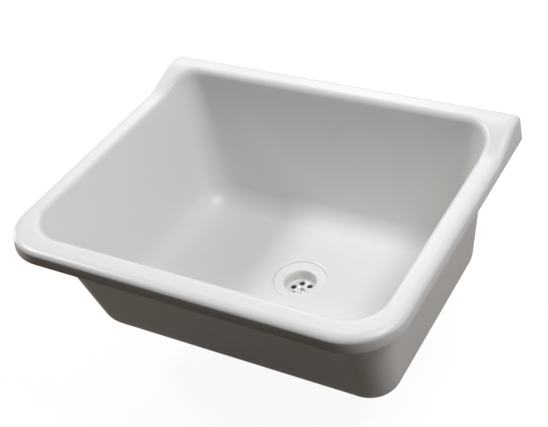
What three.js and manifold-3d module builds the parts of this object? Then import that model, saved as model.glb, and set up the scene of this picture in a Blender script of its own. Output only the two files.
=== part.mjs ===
// A utility laundry sink: one thin moulded basin with a raised back ledge, and its clamped drain outlet.
//
// Millimetres, +Z up. The origin is on the wall face at the back of the rim, midway along it and level
// with the rim's flat top. +X is to the user's right, +Y points into the wall, and the bowl hangs below.

import * as THREE from 'three';
import { mergeVertices } from 'three/addons/utils/BufferGeometryUtils.js';
import Module from 'manifold-3d';

const wasm = await Module();
wasm.setup();

// ---------------------------------------------------------------- driving dimensions

// The basin, seen from above: the rim outside, and the bowl's mouth inside it.
const rimWidth = 600;
const rimDepth = 500;
const rimFrontCorner = 76;
const rimBackCorner = 5;
const sideRim = 34; // from the rim's outside to the line of the bowl's wall, at rim level
const frontRim = 40;
const backRim = 34;

// The basin, cut through: a skin of one thickness, a skirt all round and rounded edges.
const basinDepth = 240; // from the rim's flat top to the underside of the floor
const skin = 4;
const skirtHeight = 20;
const skirtChamfer = 1;
const skirtLean = 0.1; // the rim's front and sides lean in by this share of their height
const rimEdge = 12; // width of the rounding along the outside of the rim
const rimEdgeDrop = 7; // height of that rounding
const bowlEdge = 9; // rounding where the rim turns down into the bowl

// The ledge that rises along the wall, with a ramp down each side rim.
const ledgeHeight = 21;
const ledgeRampStart = 100; // distances from the wall face
const ledgeRampEnd = 22;
const ledgeBackEdge = 8; // rounding along the wall
const ledgeFlatCorner = 8; // corner of the ledge's flat top, seen from above

// The bowl's walls lean in as they go down, by these shares of the depth.
const sideLean = 0.109;
const frontLean = 0.312;
const backLean = 0.005;
const mouthFrontCorner = 50;
const mouthBackCorner = 38;
const floorFrontCorner = 41;
const floorBackCorner = 48;
const floorFillet = 34;
const floorFall = 3; // the floor drops by this much from its edge to the drain

// The drain: a dished recess, and the flange and cup that sit in it.
const drainToWall = 185;
const recessClearance = 0.5;
const flangeWidth = 16;
const flangeSkin = 2.4;
const flangeBelowFloor = 1.8;
const dishDrop = 3.6; // from the flange's outside to the mouth of the cup
const cupRadius = 26.5;
const cupLean = 0.09;
const cupDepth = 18.4;
const cupSkin = 2.5;
const gridSkin = 2.6;
const gridHoles = 6;
const gridHoleRadius = 4.7;
const gridHoleCircle = 15.1;
const gridTurn = 52; // degrees from +X to the first hole
const dimpleDepth = 2.8; // the screw's head sits this deep in the grid
const dimpleMargin = 0.5; // of the dimple's flat round the head
const dimpleSlope = 3.4; // width of the dimple's sloping side
const gridBossRadius = 9.5;
const cupClearance = 1.7;
const bossWall = 7; // round the recess
const bossFlare = 6;

// Rubber.
const gasketThickness = 1.4;
const gasketMargin = 1.2;
const underGasketThickness = 3;
const underGasketWidth = 15.3;

// The lower half of the outlet, with a 1 1/2 inch pipe thread on its tail.
const collarMargin = 1;
const collarThickness = 4;
const bodySkin = 2.8;
const bodyDepth = 22; // straight part of the lower bowl, below the collar's top
const bodyCone = 12;
const tailLength = 32;
const tailBore = 20;
const threadRadius = 23.9;
const threadDepth = 1.3;
const threadPitch = 2.309;
const threadTurns = 11;
const armCount = 3;
const armThickness = 3;
const armHeight = 11;
const bossCoreRadius = 9;
const bossCoreHeight = 13.5;
const bossBelowCup = 6;
const bossCap = 3;

// The centre screw and its insert: M6.
const screwRadius = 2.9;
const screwHeadRadius = 5.3;
const screwHeadHeight = 3.4;
const screwHeadEdge = 0.8; // straight part of the head, below its dome
const screwLength = 30;
const screwTip = 1;
const slotWidth = 1.7;
const slotDepth = 2;
const slotTurn = 118; // degrees from +X
const screwClearance = 0.3;
const insertAcrossFlats = 10;
const insertHeight = 9.5;

// The coupling nut and its cone.
const nutRadius = 28;
const nutRib = 1.8;
const nutRibs = 12;
const nutRibShape = [[0, 0], [0.3, 0], [0.42, 1], [0.88, 1]]; // shares of a rib's pitch and of its height
const nutHeight = 25;
const nutLip = 3;
const nutThreadClearance = 0.5;
const pipeRadius = 20;
const pipeClearance = 0.7;
const coneHeight = 5;
const coneFoot = 2.2; // width of the cone's narrow lower end

// Fit between pieces that touch, and the fineness of the round shapes.
const seatGap = 0.3;
const roundSteps = 5;
const cornerSteps = 9;
const rampSteps = 8;
const turnedSteps = 40;
const smallSteps = 24;
const cutMargin = 1; // how far a cutting shape runs past the face it cuts

// ---------------------------------------------------------------- sizes that follow from them

const flangeRadius = cupRadius + flangeWidth;
const recessRadius = flangeRadius + recessClearance;
const bossRadius = recessRadius + bossWall;
const outletHole = cupRadius + cupSkin + cupClearance;
const underGasketRadius = outletHole + underGasketWidth;
const collarRadius = underGasketRadius + collarMargin;
const bodyRadius = outletHole + bodySkin;

// ---------------------------------------------------------------- heights that follow from them

const drainFloor = -basinDepth + skin;
const floorEdge = drainFloor + floorFall;
const dishSlope = dishDrop / flangeWidth;
const flangeTop = (radius) => drainFloor - flangeBelowFloor - dishSlope * (flangeRadius - radius);
const flangeUnder = (radius) => flangeTop(radius) - flangeSkin;
const gasketTop = (radius) => flangeUnder(radius) - seatGap;
const gasketUnder = (radius) => gasketTop(radius) - gasketThickness;
const seat = (radius) => gasketUnder(radius) - seatGap;
const bossUnder = seat(outletHole) - skin;
const cupMouth = flangeTop(cupRadius);
const gridTop = cupMouth - cupDepth;
const gridUnder = gridTop - gridSkin;
const headSeat = gridTop - dimpleDepth;
const gridBossUnder = headSeat - gridSkin;
const underGasketTop = bossUnder - seatGap;
const underGasketUnder = underGasketTop - underGasketThickness;
const collarTop = underGasketUnder - seatGap;
const coneTop = collarTop - bodyDepth;
const tailTop = coneTop - bodyCone;
const tailEnd = tailTop - tailLength;
const threadTop = tailEnd + (threadTurns + 0.5) * threadPitch;
const coreTop = gridBossUnder - bossBelowCup;
const coreUnder = coreTop - bossCoreHeight;
const insertTop = coreTop - bossCap - seatGap;
const screwSeat = headSeat + seatGap;
const washerTop = tailEnd - seatGap;
const washerUnder = washerTop - coneHeight;
const nutLipTop = washerUnder - seatGap;
const nutUnder = nutLipTop - nutLip;
const nutTop = nutUnder + nutHeight;
const coneBore = pipeRadius + pipeClearance / 2;

// ---------------------------------------------------------------- small helpers

const mix = (a, b, share) => a + (b - a) * share;
const radians = (degrees) => (degrees * Math.PI) / 180;

// A closed mesh as a solid for joining and cutting.
function solid(geometry) {
  const bare = new THREE.BufferGeometry();
  bare.setAttribute('position', geometry.getAttribute('position'));
  bare.setIndex(geometry.getIndex());
  const merged = mergeVertices(bare, 1e-4);
  const index = merged.getIndex().array;
  const triangles = [];
  for (let i = 0; i < index.length; i += 3) {
    const [a, b, c] = [index[i], index[i + 1], index[i + 2]];
    if (a !== b && b !== c && c !== a) triangles.push(a, b, c);
  }
  return new wasm.Manifold(new wasm.Mesh({
    numProp: 3,
    vertProperties: new Float32Array(merged.getAttribute('position').array),
    triVerts: new Uint32Array(triangles),
  }));
}

// A solid back as a mesh geometry with flat-shaded normals.
function geometryOf(manifold) {
  const mesh = manifold.getMesh();
  const geometry = new THREE.BufferGeometry();
  geometry.setAttribute('position', new THREE.BufferAttribute(mesh.vertProperties, 3));
  geometry.setIndex(new THREE.BufferAttribute(mesh.triVerts, 1));
  geometry.computeVertexNormals();
  return geometry;
}

// A closed profile of [radius, height] points turned about the Z axis.
function turned(profile, steps = turnedSteps) {
  let area = 0;
  profile.forEach(([r0, z0], i) => {
    const [r1, z1] = profile[(i + 1) % profile.length];
    area += r0 * z1 - r1 * z0;
  });
  const loop = area > 0 ? [...profile] : [...profile].reverse();
  loop.push(loop[0]);
  const points = loop.map(([radius, height]) => new THREE.Vector2(radius, height));
  return solid(new THREE.LatheGeometry(points, steps).rotateX(Math.PI / 2));
}

// A flat outline of [x, y] points raised from one height to another.
function raised(points, from, to) {
  const shape = new THREE.Shape(points.map(([x, y]) => new THREE.Vector2(x, y)));
  const block = new THREE.ExtrudeGeometry(shape, { depth: to - from, bevelEnabled: false });
  return solid(block.translate(0, 0, from));
}

// Points evenly round a circle.
function circle(radius, count, turn = 0) {
  const points = [];
  for (let i = 0; i < count; i += 1) {
    const angle = turn + (2 * Math.PI * i) / count;
    points.push([radius * Math.cos(angle), radius * Math.sin(angle)]);
  }
  return points;
}

function named(name, manifold, color, roughness, metalness = 0) {
  const material = new THREE.MeshStandardMaterial({ color, roughness, metalness });
  const mesh = new THREE.Mesh(geometryOf(manifold), material);
  mesh.name = name;
  return mesh;
}

// ---------------------------------------------------------------- the basin

// How far the rim is lifted at a distance from the wall: an S-shaped ramp up to the ledge.
function lift(y) {
  const share = THREE.MathUtils.clamp((y + ledgeRampStart) / (ledgeRampStart - ledgeRampEnd), 0, 1);
  return ledgeHeight * share * share * (3 - 2 * share);
}

// The height of the rim's outer rounding, which is a plain arc along the wall.
function edgeDrop(point) {
  return mix(rimEdgeDrop, ledgeBackEdge, Math.max(point.normal.y, 0) ** 2);
}

// How far the rim's front and sides lean in at a height.
function leanIn(height) {
  return skirtLean * (height + skirtHeight);
}

// Half of a rounded rectangle, from the middle of the front edge round to the middle of the back edge.
function halfPlan({ halfWidth, front, back, frontCorner, backCorner }) {
  const points = [];
  const add = (x, y, nx, ny) => points.push({ x, y, normal: new THREE.Vector2(nx, ny) });
  const corner = (centreX, centreY, radius, start) => {
    for (let i = 0; i <= cornerSteps; i += 1) {
      const angle = start + ((Math.PI / 2) * i) / cornerSteps;
      const [nx, ny] = [Math.cos(angle), Math.sin(angle)];
      add(centreX + radius * nx, centreY + radius * ny, nx, ny);
    }
  };
  add(0, front, 0, -1);
  corner(halfWidth - frontCorner, front + frontCorner, frontCorner, -Math.PI / 2);
  for (let i = 0; i < rampSteps; i += 1) {
    add(halfWidth, mix(-ledgeRampStart, back - backCorner, i / rampSteps), 1, 0);
  }
  corner(halfWidth - backCorner, back - backCorner, backCorner, 0);
  add(0, back, 0, 1);
  return points;
}

// A closed ring of points at the heights that heightAt gives, drawn in by insetAt at the front and sides.
function ring(plan, heightAt, insetAt = () => 0) {
  const right = halfPlan(plan);
  const left = right.slice(1, -1).reverse().map(({ x, y, normal }) => (
    { x: -x, y, normal: new THREE.Vector2(-normal.x, normal.y) }));
  return [...right, ...left].map((point) => {
    const height = heightAt(point);
    const inset = insetAt(height);
    const x = point.x - Math.sign(point.x) * inset;
    const y = point.y - Math.min(point.normal.y, 0) * inset;
    return new THREE.Vector3(x, y, height);
  });
}

// Rings that turn a corner smoothly: a circular arc where the two sides are square to each other.
function roundOver(from, corner, to) {
  const rings = [];
  for (let step = 0; step <= roundSteps; step += 1) {
    const t = step / roundSteps;
    const [a, b, c] = [(1 - t) ** 2, 2 * t * (1 - t) * Math.SQRT1_2, t ** 2];
    rings.push(from.map((point, i) => new THREE.Vector3()
      .addScaledVector(point, a)
      .addScaledVector(corner[i], b)
      .addScaledVector(to[i], c)
      .divideScalar(a + b + c)));
  }
  return rings;
}

// The skin over a list of rings, closed by a point at each end.
function loft(firstPoint, rings, lastPoint) {
  const count = rings[0].length;
  const positions = [firstPoint, ...rings.flat(), lastPoint].flatMap((point) => point.toArray());
  const last = rings.length * count + 1;
  const at = (row, i) => 1 + row * count + (i % count);
  const index = [];
  for (let i = 0; i < count; i += 1) index.push(0, at(0, i), at(0, i + 1));
  for (let row = 0; row < rings.length - 1; row += 1) {
    for (let i = 0; i < count; i += 1) {
      index.push(at(row, i), at(row + 1, i), at(row + 1, i + 1));
      index.push(at(row, i), at(row + 1, i + 1), at(row, i + 1));
    }
  }
  for (let i = 0; i < count; i += 1) index.push(last, at(rings.length - 1, i + 1), at(rings.length - 1, i));
  const geometry = new THREE.BufferGeometry();
  geometry.setAttribute('position', new THREE.Float32BufferAttribute(positions, 3));
  geometry.setIndex(index);
  return solid(geometry);
}

// The bowl's wall at a depth below the rim, moved outwards by an offset.
function bowlPlan(depth, offset = 0) {
  const share = depth / basinDepth;
  return {
    halfWidth: rimWidth / 2 - sideRim - sideLean * depth + offset,
    front: -rimDepth + frontRim + frontLean * depth - offset,
    back: -backRim - backLean * depth + offset,
    frontCorner: mix(mouthFrontCorner, floorFrontCorner, share) + offset,
    backCorner: mix(mouthBackCorner, floorBackCorner, share) + offset,
  };
}

// The rim's outside, moved inwards by an inset.
function rimPlan(inset) {
  return {
    halfWidth: rimWidth / 2 - inset,
    front: -rimDepth + inset,
    back: -inset,
    frontCorner: rimFrontCorner - inset,
    backCorner: Math.max(rimBackCorner - inset, 0),
  };
}

// One side of the skin, from the floor out to the skirt: the face that shows, or the hidden face below it.
function skinSide(below) {
  const floorHeight = below ? -basinDepth : floorEdge;
  const fillet = floorFillet + below;
  const top = (point) => lift(point.y) - below;
  const flatTop = {
    halfWidth: rimWidth / 2 - rimEdge,
    front: -rimDepth + rimEdge,
    back: -ledgeBackEdge,
    frontCorner: rimFrontCorner - rimEdge,
    backCorner: ledgeFlatCorner,
  };
  return [
    ...roundOver(
      ring(bowlPlan(-floorHeight, below - fillet), () => floorHeight),
      ring(bowlPlan(-floorHeight, below), () => floorHeight),
      ring(bowlPlan(-floorHeight - fillet, below), () => floorHeight + fillet),
    ),
    ...roundOver(
      ring(bowlPlan(bowlEdge, below), (point) => lift(point.y) - bowlEdge),
      ring(bowlPlan(below, below), top),
      ring(bowlPlan(0, bowlEdge), top),
    ),
    ...roundOver(
      ring(flatTop, top, leanIn),
      ring(rimPlan(below), top, leanIn),
      ring(rimPlan(below), (point) => lift(point.y) - edgeDrop(point), leanIn),
    ),
  ];
}

function makeBasin() {
  const shell = loft(
    new THREE.Vector3(0, -drainToWall, drainFloor),
    [
      ...skinSide(0),
      ring(rimPlan(0), () => -skirtHeight + skirtChamfer, leanIn),
      ring(rimPlan(skirtChamfer), () => -skirtHeight),
      ring(rimPlan(skin), () => -skirtHeight),
      ...skinSide(skin).reverse(),
    ],
    new THREE.Vector3(0, -drainToWall, -basinDepth),
  );
  const insideFloor = -basinDepth + skin / 2;
  const boss = turned([
    [0, insideFloor],
    [bossRadius + bossFlare, insideFloor],
    [bossRadius + bossFlare, -basinDepth],
    [bossRadius, bossUnder],
    [0, bossUnder],
  ]).translate([0, -drainToWall, 0]);
  const recess = turned([
    [0, floorEdge + floorFillet],
    [recessRadius, floorEdge + floorFillet],
    [recessRadius, seat(recessRadius)],
    [outletHole, seat(outletHole)],
    [outletHole, bossUnder - skin],
    [0, bossUnder - skin],
  ]).translate([0, -drainToWall, 0]);
  return shell.add(boss).subtract(recess);
}

// ---------------------------------------------------------------- the drain outlet, on the Z axis

// The clear way that the centre screw needs between two heights.
function screwPassage(from, to) {
  return raised(circle(screwRadius + screwClearance, smallSteps), from - cutMargin, to + cutMargin);
}

function makeFlange() {
  const cupFoot = cupRadius - cupLean * cupDepth;
  const lip = flangeSkin / 2;
  let flange = turned([
    [0, gridTop],
    [cupFoot, gridTop],
    [cupRadius - cupLean * lip, cupMouth - lip],
    [cupRadius + lip / 2, flangeTop(cupRadius + lip / 2) - lip / 6],
    [cupRadius + lip, flangeTop(cupRadius + lip)],
    [flangeRadius - lip, flangeTop(flangeRadius - lip)],
    [flangeRadius, flangeTop(flangeRadius) - lip],
    [flangeRadius, flangeUnder(flangeRadius)],
    [cupRadius + cupSkin, flangeUnder(cupRadius + cupSkin)],
    [cupFoot + cupSkin, gridUnder],
    [gridBossRadius, gridUnder],
    [gridBossRadius, gridBossUnder],
    [0, gridBossUnder],
  ]);
  for (const [x, y] of circle(gridHoleCircle, gridHoles, radians(gridTurn))) {
    const hole = raised(circle(gridHoleRadius, smallSteps), gridUnder - cutMargin, gridTop + cutMargin);
    flange = flange.subtract(hole.translate([x, y, 0]));
  }
  const dimpleFoot = screwHeadRadius + dimpleMargin;
  const dimple = turned([
    [0, headSeat],
    [dimpleFoot, headSeat],
    [dimpleFoot + dimpleSlope, gridTop],
    [dimpleFoot + dimpleSlope, gridTop + cutMargin],
    [0, gridTop + cutMargin],
  ]);
  return flange.subtract(dimple).subtract(screwPassage(gridBossUnder, gridTop));
}

function makeFlangeGasket() {
  const inner = outletHole;
  const outer = flangeRadius - gasketMargin;
  return turned([
    [inner, gasketUnder(inner)],
    [outer, gasketUnder(outer)],
    [outer, gasketTop(outer)],
    [inner, gasketTop(inner)],
  ]);
}

function makeUnderGasket() {
  const edge = gasketMargin / 2;
  return turned([
    [outletHole, underGasketUnder],
    [underGasketRadius - edge, underGasketUnder],
    [underGasketRadius, underGasketUnder + edge],
    [underGasketRadius, underGasketTop - edge],
    [underGasketRadius - edge, underGasketTop],
    [outletHole, underGasketTop],
  ]);
}

// The ridges of the pipe thread, as rings one pitch apart.
function threadProfile() {
  const profile = [];
  for (let turn = 0; turn < threadTurns; turn += 1) {
    const crest = threadTop - (turn + 0.5) * threadPitch;
    profile.push([threadRadius - threadDepth, crest + threadPitch / 2]);
    profile.push([threadRadius, crest + threadPitch / 8]);
    profile.push([threadRadius, crest - threadPitch / 8]);
  }
  profile.push([threadRadius - threadDepth, threadTop - threadTurns * threadPitch]);
  return profile;
}

function hexagon(acrossFlats) {
  return circle(acrossFlats / 2 / Math.cos(Math.PI / 6), 6, Math.PI / 6);
}

function makeWasteBody() {
  const bodyBore = bodyRadius - bodySkin;
  const shell = turned([
    [collarRadius, collarTop],
    [collarRadius, collarTop - collarThickness],
    [bodyRadius, collarTop - collarThickness - bodySkin / 2],
    [bodyRadius, coneTop],
    [threadRadius - threadDepth, tailTop],
    ...threadProfile(),
    [threadRadius - threadDepth - bodySkin / 4, tailEnd],
    [tailBore, tailEnd],
    [tailBore, tailTop],
    [bodyBore, coneTop],
    [bodyBore, collarTop],
  ]);
  const armEnd = bodyRadius - bodySkin / 2;
  const half = armThickness / 2;
  const arm = [[0, -half], [armEnd, -half], [armEnd, half], [0, half]];
  let web = raised(circle(bossCoreRadius, smallSteps), coreUnder, coreTop);
  for (let i = 0; i < armCount; i += 1) {
    const turn = gridTurn + 180 / gridHoles + (360 * i) / armCount;
    web = web.add(raised(arm, coreTop - armHeight, coreTop).rotate([0, 0, turn]));
  }
  const pocket = raised(hexagon(insertAcrossFlats + 2 * seatGap), coreUnder - cutMargin, insertTop + seatGap);
  return shell.add(web).subtract(pocket).subtract(screwPassage(insertTop, coreTop));
}

function makeInsert() {
  const insertUnder = insertTop - insertHeight;
  const body = raised(hexagon(insertAcrossFlats), insertUnder, insertTop);
  return body.subtract(screwPassage(insertUnder, insertTop));
}

function makeScrew() {
  const dome = [];
  for (let i = 0; i < roundSteps; i += 1) {
    const angle = ((Math.PI / 2) * i) / roundSteps;
    const height = screwHeadEdge + (screwHeadHeight - screwHeadEdge) * Math.sin(angle);
    dome.push([screwHeadRadius * Math.cos(angle), screwSeat + height]);
  }
  const tip = screwSeat - screwLength;
  const blank = turned([
    [0, tip],
    [screwRadius - screwTip, tip],
    [screwRadius, tip + screwTip],
    [screwRadius, screwSeat],
    [screwHeadRadius, screwSeat],
    ...dome,
    [0, screwSeat + screwHeadHeight],
  ], smallSteps);
  const reach = screwHeadRadius + cutMargin;
  const half = slotWidth / 2;
  const slot = [[-reach, -half], [reach, -half], [reach, half], [-reach, half]];
  const slotFloor = screwSeat + screwHeadHeight - slotDepth;
  return blank.subtract(raised(slot, slotFloor, slotFloor + 2 * slotDepth).rotate([0, 0, slotTurn]));
}

function makeConeWasher() {
  const shoulder = threadRadius - threadDepth / 2;
  return turned([
    [coneBore, washerUnder],
    [coneBore + coneFoot, washerUnder],
    [shoulder, washerTop - coneFoot / 2],
    [shoulder, washerTop],
    [coneBore, washerTop],
  ]);
}

function makeNut() {
  const bore = threadRadius + nutThreadClearance;
  const outline = [];
  for (let rib = 0; rib < nutRibs; rib += 1) {
    for (const [along, height] of nutRibShape) {
      const angle = (2 * Math.PI * (rib + along)) / nutRibs;
      const radius = nutRadius + nutRib * height;
      outline.push([radius * Math.cos(angle), radius * Math.sin(angle)]);
    }
  }
  const bevelled = turned([
    [0, nutUnder],
    [nutRadius, nutUnder],
    [nutRadius + nutRib + cutMargin, nutUnder + nutRib + cutMargin],
    [nutRadius + nutRib + cutMargin, nutTop - nutRib - cutMargin],
    [nutRadius, nutTop],
    [0, nutTop],
  ]);
  const inside = turned([
    [0, nutUnder - cutMargin],
    [pipeRadius + pipeClearance, nutUnder - cutMargin],
    [pipeRadius + pipeClearance, nutLipTop],
    [coneBore + coneFoot + seatGap, nutLipTop],
    [bore, washerTop - coneFoot / 2],
    [bore, nutTop + cutMargin],
    [0, nutTop + cutMargin],
  ]);
  return raised(outline, nutUnder, nutTop).intersect(bevelled).subtract(inside);
}

// ---------------------------------------------------------------- assembly

const white = 0xf2f1ee;
const brightWhite = 0xf4f4f2;
const rubber = 0x2b2b2c;
const steel = 0xc9cbcd;
const brass = 0xc8a24a;

const outlet = new THREE.Group();
outlet.position.set(0, -drainToWall, 0);
outlet.add(
  named('drain_flange', makeFlange(), brightWhite, 0.35),
  named('flange_gasket', makeFlangeGasket(), rubber, 0.8),
  named('under_gasket', makeUnderGasket(), rubber, 0.8),
  named('waste_body', makeWasteBody(), brightWhite, 0.4),
  named('screw_insert', makeInsert(), brass, 0.35, 1),
  named('centre_screw', makeScrew(), steel, 0.25, 1),
  named('cone_washer', makeConeWasher(), rubber, 0.8),
  named('coupling_nut', makeNut(), brightWhite, 0.4),
);

const sink = new THREE.Group();
sink.add(named('basin', makeBasin(), white, 0.35), outlet);

export default sink;
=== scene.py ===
# %% [markdown]
# A moulded laundry sink and its clamped drain outlet
#
# On the real object, one thin skin of white plastic is the bowl, the rim and the raised ledge, and a
# two-part outlet is clamped through a hole in its floor by one screw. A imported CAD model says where
# each piece is. This script makes the fine surfaces and the finishes. It models in millimetres, as
# such a sink is drawn, and scales each finished piece to metres once.

from math import cos, pi, radians, sin, sqrt

import bmesh
import bpy
from mathutils import Matrix, Vector


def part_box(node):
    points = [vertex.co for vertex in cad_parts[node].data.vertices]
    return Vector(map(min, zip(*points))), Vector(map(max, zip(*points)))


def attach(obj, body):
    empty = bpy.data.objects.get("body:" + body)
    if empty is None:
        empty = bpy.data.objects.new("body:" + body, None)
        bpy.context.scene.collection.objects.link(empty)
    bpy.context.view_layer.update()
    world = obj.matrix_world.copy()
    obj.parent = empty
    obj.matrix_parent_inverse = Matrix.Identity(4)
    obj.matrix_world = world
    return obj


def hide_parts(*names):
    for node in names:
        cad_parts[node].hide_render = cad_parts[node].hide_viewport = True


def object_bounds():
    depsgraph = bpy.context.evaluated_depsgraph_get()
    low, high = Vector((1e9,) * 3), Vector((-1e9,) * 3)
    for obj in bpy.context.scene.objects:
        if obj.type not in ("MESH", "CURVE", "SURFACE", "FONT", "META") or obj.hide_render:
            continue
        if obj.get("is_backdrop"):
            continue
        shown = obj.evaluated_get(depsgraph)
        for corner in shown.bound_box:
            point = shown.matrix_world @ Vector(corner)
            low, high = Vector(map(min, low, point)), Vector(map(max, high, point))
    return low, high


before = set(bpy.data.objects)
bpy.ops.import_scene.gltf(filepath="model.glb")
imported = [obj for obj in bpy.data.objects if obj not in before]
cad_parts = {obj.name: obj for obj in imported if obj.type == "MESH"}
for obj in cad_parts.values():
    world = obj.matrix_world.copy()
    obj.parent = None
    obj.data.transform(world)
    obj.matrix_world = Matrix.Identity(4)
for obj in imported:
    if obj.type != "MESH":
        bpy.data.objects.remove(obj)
cad_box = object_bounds()
MM = 0.001
print("CAD box in mm:", [round(side / MM, 1) for side in cad_box[1] - cad_box[0]])

# %% [markdown]
# Every piece made here ends in the same way: scaled, its faces turned outwards, shaded smooth apart
# from its hard edges, given a finish, and set riding on a body of the frame. The whole outlet is modelled
# round the Z axis, because that keeps its shapes simple, and is moved to the drain's place at the end.

# %% Finish a piece
HARD_EDGE = radians(32)


def extent(node):
    """A CAD node's half width, lowest height and highest height, in millimetres."""
    low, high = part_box(node)
    return (high.x - low.x) / 2 / MM, low.z / MM, high.z / MM


def centre_of(node):
    """The middle of a CAD node seen from above, in millimetres."""
    low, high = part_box(node)
    return Vector((low.x + high.x, low.y + high.y, 0)) / 2 / MM


DRAIN = centre_of("drain_flange")


def finish_piece(name, bm, finish, body, node, place=Vector()):
    """Makes a bmesh in millimetres the piece that stands for a CAD node."""
    bmesh.ops.translate(bm, vec=place, verts=bm.verts)
    bmesh.ops.scale(bm, vec=(MM, MM, MM), verts=bm.verts)
    bmesh.ops.recalc_face_normals(bm, faces=bm.faces)
    for face in bm.faces:
        face.smooth = True
    for edge in bm.edges:
        edge.smooth = edge.calc_face_angle(0) < HARD_EDGE
    mesh = bpy.data.meshes.new(name)
    bm.to_mesh(mesh)
    bm.free()
    mesh.materials.append(finish.material)
    piece = bpy.data.objects.new(name, mesh)
    bpy.context.scene.collection.objects.link(piece)
    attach(piece, body)
    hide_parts(node)
    size = [round(side / MM, 1) for side in piece.dimensions]
    print(f"{name}: {len(mesh.polygons)} faces, {size} mm")


print("The drain's axis is at", [round(value, 1) for value in DRAIN])

# %% [markdown]
# Finishes are built from nodes. Wiring nodes one by one hides the idea, so a socket is wrapped in a
# small class that understands Python's operators: an expression such as 0.4 + 0.1 * grain then adds
# its own Math nodes. One method adds any other node, with its settings first and its sockets next.

# %% A wrapped socket, and a material to use it in
class Wire:
    """An output socket of a material's nodes, which can be added, multiplied and so on."""

    def __init__(self, finish, socket):
        self.finish = finish
        self.socket = socket

    def maths(self, operation, first, second):
        return self.finish.node("Math", {"operation": operation}, {0: first, 1: second})

    def __add__(self, other):
        return self.maths("ADD", self, other)

    def __sub__(self, other):
        return self.maths("SUBTRACT", self, other)

    def __rsub__(self, other):
        return self.maths("SUBTRACT", other, self)

    def __mul__(self, other):
        return self.maths("MULTIPLY", self, other)

    __radd__ = __add__
    __rmul__ = __mul__


class Finish:
    """A material whose shader is a Principled BSDF, with its plain values given by name."""

    def __init__(self, name, **plain):
        self.material = bpy.data.materials.new(name)
        self.material.use_nodes = True
        self.tree = self.material.node_tree
        self.shader = self.tree.nodes["Principled BSDF"]
        for socket, value in plain.items():
            self.shader.inputs[socket.replace("_", " ")].default_value = value

    def node(self, kind, settings=None, sockets=None, output=0):
        """Adds a node: its settings, then the values or links of its sockets."""
        node = self.tree.nodes.new("ShaderNode" + kind)
        for name, value in (settings or {}).items():
            if name == "stops":
                self.set_stops(node.color_ramp, value)
            else:
                setattr(node, name, value)
        for name, value in (sockets or {}).items():
            self.feed(node.inputs[name], value)
        return Wire(self, node.outputs[output])

    def set_stops(self, ramp, stops):
        """Gives a ramp its stops, each a position and a grey."""
        while len(ramp.elements) < len(stops):
            ramp.elements.new(1)
        for element, (position, grey) in zip(ramp.elements, stops):
            element.position = position
            element.color = (grey, grey, grey, 1)

    def feed(self, socket, value):
        if isinstance(value, Wire):
            self.tree.links.new(value.socket, socket)
        else:
            socket.default_value = value

    def place(self):
        """Where a point is on the object."""
        return self.node("TexCoord", output="Object")

    def height(self):
        """How high a point is on the object."""
        return self.node("SeparateXYZ", {}, {"Vector": self.place()}, output="Z")

    def centred(self):
        """Where a point is as seen from the drain's axis."""
        return self.node("Mapping", {}, {"Vector": self.place(), "Location": -DRAIN * MM})

    def noise(self, scale, detail, roughness=0.5, place=None):
        """Noise with about as many features to the metre as its scale says."""
        sockets = {"Vector": place or self.place(), "Scale": scale, "Detail": detail, "Roughness": roughness}
        return self.node("TexNoise", {}, sockets)

    def rings(self, centred, scale, distortion):
        """Waves that run in rings round the drain's axis."""
        kind = {"wave_type": "RINGS", "rings_direction": "Z"}
        return self.node("TexWave", kind, {"Vector": centred, "Scale": scale, "Distortion": distortion})

    def ramp(self, value, *stops):
        return self.node("ValToRGB", {"stops": stops}, {"Fac": value})

    def between(self, value, start, end):
        """How far a length is from start to end, both in millimetres, as a share from 0 to 1."""
        sockets = {"Value": value, "From Min": start * MM, "From Max": end * MM}
        return self.node("MapRange", {"clamp": True}, sockets)

    def tint(self, share, first, second):
        """A colour between two others."""
        sockets = {"Factor": share, 6: (*first, 1), 7: (*second, 1)}
        return self.node("Mix", {"data_type": "RGBA"}, sockets, output=2)

    def wire(self, **links):
        """Feeds the shader's own sockets."""
        for socket, value in links.items():
            self.feed(self.shader.inputs[socket.replace("_", " ")], value)

    def relief(self, height, depth):
        """Bumps of a real depth in metres, from a height between 0 and 1."""
        bump = self.node("Bump", {}, {"Height": height, "Distance": depth, "Strength": 1})
        self.wire(Normal=bump)


print("Shader maths is ready")

# %% [markdown]
# The basin is taken to be one thick sheet of white plastic, formed over a mould. Such a sheet has a soft
# satin gloss, a fine orange peel from the mould, faint clouds in the gloss where it stretched, and a few
# hairline scuffs on the floor, where buckets stand. All of that is noise on the object's own coordinates,
# at the real size of each feature, so that it stays put from every side.

# %% The basin's white plastic
SHEET_WHITES = ((0.797, 0.787, 0.765), (0.847, 0.837, 0.815))
PEEL = 330  # features to the metre, as for all the noise here
CLOUDS = 9
SPECKS = 1500
SCRATCHES = (40, 900, 40)
SCRATCH_TURN = 0.5
SCRATCH_EDGE = ((0.70, 0), (0.76, 1))
SCUFFS_START = -180  # heights in mm
SCUFFS_FULL = -228
PEEL_DEPTH = 0.06 * MM


def basin_plastic():
    white = Finish("basin_white_satin", IOR=1.49, Specular_IOR_Level=0.5)
    peel = white.noise(PEEL, detail=2)
    clouds = white.noise(CLOUDS, detail=3)
    specks = white.noise(SPECKS, detail=1)
    stretched = white.node("Mapping", {}, {
        "Vector": white.place(), "Scale": SCRATCHES, "Rotation": (0, 0, SCRATCH_TURN)})
    scratches = white.ramp(white.noise(1, detail=2, place=stretched), *SCRATCH_EDGE)
    scuffs = scratches * white.between(white.height(), SCUFFS_START, SCUFFS_FULL)
    white.wire(
        Base_Color=white.tint(0.55 * clouds + 0.3 * specks, *SHEET_WHITES),
        Roughness=0.28 + 0.08 * clouds + 0.06 * specks + 0.10 * scuffs,
    )
    white.relief(peel + 0.25 * specks - 0.3 * scuffs, depth=PEEL_DEPTH)
    return white


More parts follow.
